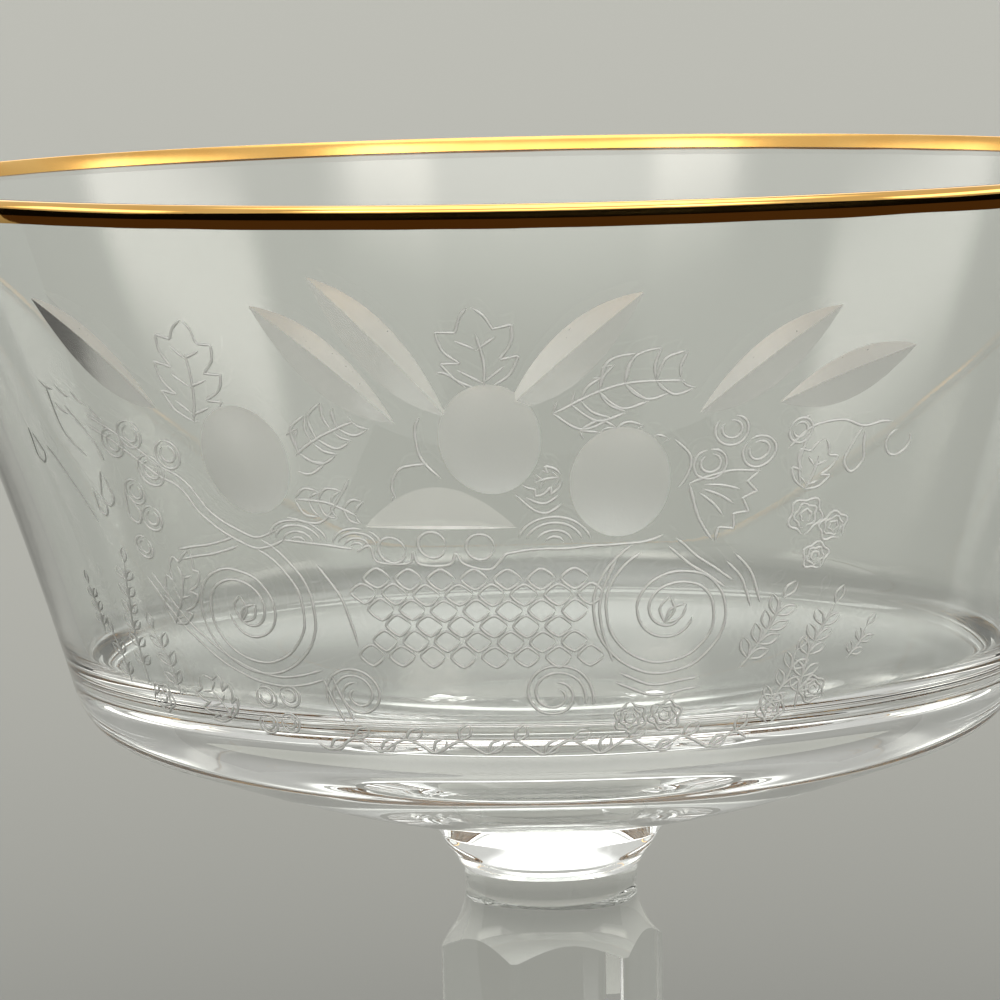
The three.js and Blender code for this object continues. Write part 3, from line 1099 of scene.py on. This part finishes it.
def makeStem():
    s = stemShape
    base, top = stemLow.z, stemHigh.z
    neck = collarShape["neckRadius"]
    turn = acos(1 - (s["shoulderRadius"] - neck) / s["coveRadius"])
    cove = []
    for i in range(s["coveSteps"] + 1):
        a = pi + turn * (1 - i / s["coveSteps"])
        cove.append((neck + s["coveRadius"] * (1 + cos(a)), top + s["coveRadius"] * sin(a)))
    rod = joined([(0, base), (s["shoulderRadius"], base)], cove, [(0, top)])
    over = 1.0  # the six-sided form runs past both ends of the rod
    waist = (s["waistRadius"], base + s["waistRise"])
    knopEnd = (s["knopRadius"], top - s["knopLength"])
    roundBase = (s["shoulderRadius"] / cos(pi / s["panels"]), base + s["panelFoot"])
    middle = (waist[1] + knopEnd[1]) / 2
    slope = (knopEnd[0] - waist[0]) / (knopEnd[1] - waist[1])
    control = (waist[0] + slope * (middle - waist[1]) / 2, middle)
    form = joined(
        [(0, base - over), (roundBase[0], base - over)],
        bezier(roundBase, (waist[0], base + (s["panelFoot"] + s["waistRise"]) / 2), waist, 24),
        bezier(waist, control, knopEnd, 24), [(s["knopRadius"], top + over), (0, top + over)])
    stem = addObject("stem_panels", turnedMesh("stem_panels", rod, s["sides"], s["firstCorner"]), crystal)
    cutter = turnedMesh("panelTool", form, s["panels"], s["firstCorner"])
    breakCorners(cutter, s["cornerBreak"])
    panels = addObject("panelTool", cutter, crystal)
    carve(stem, [panels], "INTERSECT")
    smoothShade(stem)
    fuseFaces(stem, [base, top])
    return stem


stem = makeStem()
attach(stem, "root")
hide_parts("stem")
print("stem panels cut:", len(stem.data.polygons), "faces")


# foot: a thin disc with a rounded edge, hollowed a little underneath

footShape = {"edge": 2.4, "edgeRounding": 1.0, "hubRadius": 12.5, "hubHeight": 4.8, "ringRadius": 25.0,
             "kickUp": 1.6, "sides": 300, "edgeAngle": 25}


def makeFoot():
    f = footShape
    radius, top = footHigh.x, footHigh.z
    bottomEdge = (radius - f["edgeRounding"], 0)
    topEdge = (radius - f["edgeRounding"], f["edge"])
    hub = (f["hubRadius"], f["hubHeight"])
    seat = (stemShape["shoulderRadius"], top)
    ring = (f["ringRadius"], 0)
    outline = joined(
        bezier((0, f["kickUp"]), (ring[0] / 2, f["kickUp"]), ring, 32),
        bezier(bottomEdge, (radius, 0), (radius, f["edge"] / 2), 12),
        bezier((radius, f["edge"] / 2), (radius, f["edge"]), topEdge, 12),
        bezier(hub, (seat[0], f["hubHeight"]), seat, 20), [(0, top)])
    foot = addObject("foot_disc", turnedMesh("foot_disc", outline, f["sides"]), crystal)
    smoothShade(foot, f["edgeAngle"])
    fuseFaces(foot, [top])
    return foot


foot = makeFoot()
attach(foot, "root")
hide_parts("foot")
print("foot disc turned")


# camera at the photograph's angle

view = {"distance": 297.393, "aboveLip": 15.1417, "yaw": -0.0108, "pitch": 0.1321, "roll": -0.0208,
        "focalPixels": 4093.17, "framePixels": 1000, "sensor": 36.0}


def makeCamera():
    data = bpy.data.cameras.new("camera")
    data.sensor_width = view["sensor"]
    data.lens = view["focalPixels"] * view["sensor"] / view["framePixels"]
    camera = addObject("camera", data)
    turn = Matrix.Rotation(-view["yaw"], 4, "Z") @ Matrix.Rotation(pi / 2 - view["pitch"], 4, "X")
    place = Matrix.Translation(Vector((0, -view["distance"], lipHeight + view["aboveLip"])) * mm)
    camera.matrix_world = place @ turn @ Matrix.Rotation(view["roll"], 4, "Z")
    scene.camera = camera


makeCamera()


# floor: a pale sweep with painted shade that makes it greyer at a middle distance, in metres from the
# glass, and a painted pool of light round the foot

floorLook = {
    "half": 60.0, "below": 0.0002, "rough": 0.9, "sheen": 0.1,
    "near": (0.214, 0.216, 0.205, 1), "far": (0.362, 0.364, 0.343, 1),
    "reach": 0.0318, "start": 0.045, "least": 0.2,  # how the painted shade fades with the distance
    "lightPool": (0.36, 0.361, 0.341, 1), "lightPoolEdge": (0.21, 0.05),  # a painted pool of light, pale again round the foot
}


def makeFloor():
    look = floorLook
    half, height = look["half"], -look["below"]
    mesh = bpy.data.meshes.new("floor")
    corners = ((-half, -half), (half, -half), (half, half), (-half, half))
    mesh.from_pydata([(x, y, height) for x, y in corners], [], [(0, 1, 2, 3)])
    finish, tree, shader, place = newFinish("floor_painted_shade_and_light")
    away = addNode(tree, "ShaderNodeVectorMath", {"operation": "LENGTH"}, {0: place}).outputs["Value"]
    kept = mathNode(tree, "MAXIMUM", away, look["least"])
    fade = mathNode(tree, "DIVIDE", look["reach"], mathNode(tree, "SUBTRACT", kept, look["start"]))
    share = mathNode(tree, "DIVIDE", fade, look["far"][0] - look["near"][0], use_clamp=True)
    tone = mixNode(tree, share, look["far"], look["near"])
    # the painted pool of light round the foot
    inside = rangeNode(tree, away, look["lightPoolEdge"], interpolation_type="SMOOTHSTEP")
    setInputs(tree, shader, {
        "Roughness": look["rough"], "Specular IOR Level": look["sheen"],
        "Base Color": mixNode(tree, inside, tone, look["lightPool"])})
    addObject("floor", mesh, finish)


# soft light: a gradient from the horizon to the ceiling, and soft boxes and one darker patch in it

studio = {
    "horizon": (0.33, 0.328, 0.305, 1), "ceiling": (0.66, 0.655, 0.63, 1), "climb": (0, 0.5),
    "boxes": [  # azimuths from the front, elevation, half width, half height, softness in degrees, colour
        ("top", (0,), 90, 360, 26, 8, (2.6, 2.6, 2.55, 1)),
        ("fill", (14,), 12, 46, 9, 6, (3.0, 3.0, 2.9, 1)),
        ("front", (0,), 45, 48, 6, 5, (2.5, 2.46, 2.3, 1)),
        ("lens", (0,), 31, 24, 4, 3, (0.25, 0.25, 0.24, 1)),
        ("frontSides", (34, -36), 46, 9, 5, 4, (4.9, 4.7, 4.3, 1)),
        ("right", (86,), 30, 19, 6, 4, (3.1, 3.0, 2.8, 1)),
        ("left", (-88,), 28, 18, 6, 4, (2.6, 2.54, 2.38, 1)),
        ("back", (165, -165), 24, 18, 6, 5, (1.9, 1.9, 1.8, 1)),
        ("panes", (176, -176), 35, 8, 2, 0.5, (3.0, 3.0, 2.9, 1)),
        ("upperPanes", (176, -176), 46, 8, 2.5, 0.5, (3.0, 3.0, 2.9, 1)),
    ],
}


# 1 within an angle of the middle and 0 outside it, with a soft edge
def window(tree, angle, middle, half, soft):
    off = mathNode(tree, "ABSOLUTE", mathNode(tree, "SUBTRACT", angle, radians(middle)))
    edge = (radians(half + soft), radians(half - soft))
    return rangeNode(tree, off, edge, interpolation_type="SMOOTHSTEP")


def makeWorld():
    world = bpy.data.worlds.new("studio")
    scene.world = world
    world.use_nodes = True
    tree = world.node_tree
    parts = splitNode(tree, addNode(tree, "ShaderNodeTexCoord", {}, {}).outputs["Generated"])
    azimuth = mathNode(tree, "ARCTAN2", parts["X"], mathNode(tree, "MULTIPLY", parts["Y"], -1.0))
    elevation = mathNode(tree, "ARCSINE", parts["Z"])
    climb = rangeNode(tree, parts["Z"], studio["climb"])
    colour = mixNode(tree, climb, studio["horizon"], studio["ceiling"])
    for name, middles, height, halfWidth, halfHeight, soft, light in studio["boxes"]:
        tall = window(tree, elevation, height, halfHeight, soft)
        for middle in middles:
            wide = window(tree, azimuth, middle, halfWidth, soft)
            colour = mixNode(tree, mathNode(tree, "MULTIPLY", wide, tall), colour, light, label=name)
    setInputs(tree, tree.nodes["Background"], {"Color": colour})


# painted reflections: dark cards round the front that only reflections see, which the polished gold mirrors
# as dark and brown bands

flags = {
    "reach": 100, "steps": 40, "far": 0.55, "near": 0.08, "height": 0.43, "ends": 0.26, "taper": (45, 70),
    # the colours of the painted dark and brown reflections
    "upright": (0.004, 0.004, 0.004, 1), "flat": (0.042, 0.024, 0.012, 1),
}


def makeFlag(name, low, high):
    f = flags
    verts, faces = [], []
    for i in range(f["steps"] + 1):
        turn = f["reach"] * (2 * i / f["steps"] - 1)
        a = radians(turn)
        end = min(max((abs(turn) - f["taper"][0]) / (f["taper"][1] - f["taper"][0]), 0), 1)
        share = 1 - end * (1 - f["ends"] / f["height"])
        verts += [(r * sin(a), -r * cos(a), z * share) for r, z in (low, high)]
    for i in range(0, 2 * f["steps"], 2):
        faces.append((i, i + 2, i + 3, i + 1))
    mesh = bpy.data.meshes.new(name + "Flag")
    mesh.from_pydata(verts, [], faces)
    finish, tree, shader, place = newFinish(name + "_flag")
    setInputs(tree, shader, {"Base Color": f[name], "Specular IOR Level": 0})
    flag = addObject(name + "Flag", mesh, finish)
    flag.visible_camera = False
    flag.visible_diffuse = False
    flag.visible_transmission = False
    flag.visible_shadow = False


makeFloor()
makeFlag("upright", (flags["far"], 0), (flags["far"], flags["height"]))
makeFlag("flat", (flags["far"], 0), (flags["near"], 0))
makeWorld()
print("camera, floor and light set")
